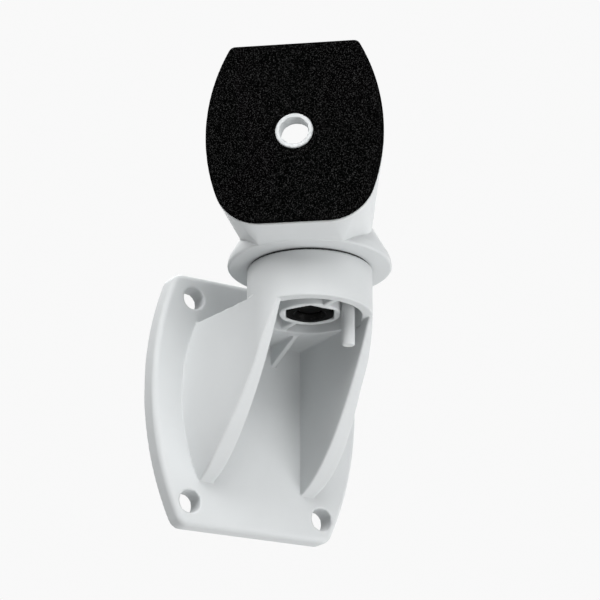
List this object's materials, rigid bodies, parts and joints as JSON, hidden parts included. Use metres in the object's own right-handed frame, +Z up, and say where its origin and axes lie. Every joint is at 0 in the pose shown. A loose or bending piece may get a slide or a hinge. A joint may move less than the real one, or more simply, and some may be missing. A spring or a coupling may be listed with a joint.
{
  "type": "swivel wall bracket",
  "caption": "White swivel wall bracket: barrel-shaped wall plate, flared gussets, round hub and a turning hollow head with a foam-padded plate that a small device is screwed to.",
  "frame": {"origin": "middle of the wall plate's back face, on the wall", "axes": "+Y into the wall, so the bracket stands out along -Y; +Z up; +X to the right for someone facing the wall"},
  "size_m": [0.0619, 0.0647, 0.1056],
  "materials": {
    "white_plastic": "satin moulded",
    "dark_ring": "matt",
    "black_steel": "black oxide",
    "zinc_steel": "zinc plated",
    "adhesive": "satin film",
    "black_foam": "closed-cell foam"
  },
  "bodies": {
    "bracket": {"wall_bracket": "white_plastic", "friction_ring": "dark_ring", "hex_nut": "black_steel"},
    "head": {"swivel_head": "white_plastic", "pad_adhesive": "adhesive", "foam_pad": "black_foam", "flat_washer": "zinc_steel"},
    "bolt": {"pivot_bolt": "black_steel", "lock_washer": "zinc_steel"}
  },
  "joints": [
    {"name": "head_swivel", "type": "hinge", "parent": "bracket", "child": "head", "pos_m": [0, -0.03, 0.0281], "axis": [0, 0, 1], "range_deg": [-36, 112]},
    {"name": "bolt_turn", "type": "hinge", "parent": "bracket", "child": "bolt", "pos_m": [0, -0.03, 0.0369], "axis": [0, 0, 1], "range_deg": [0, 180]}
  ]
}
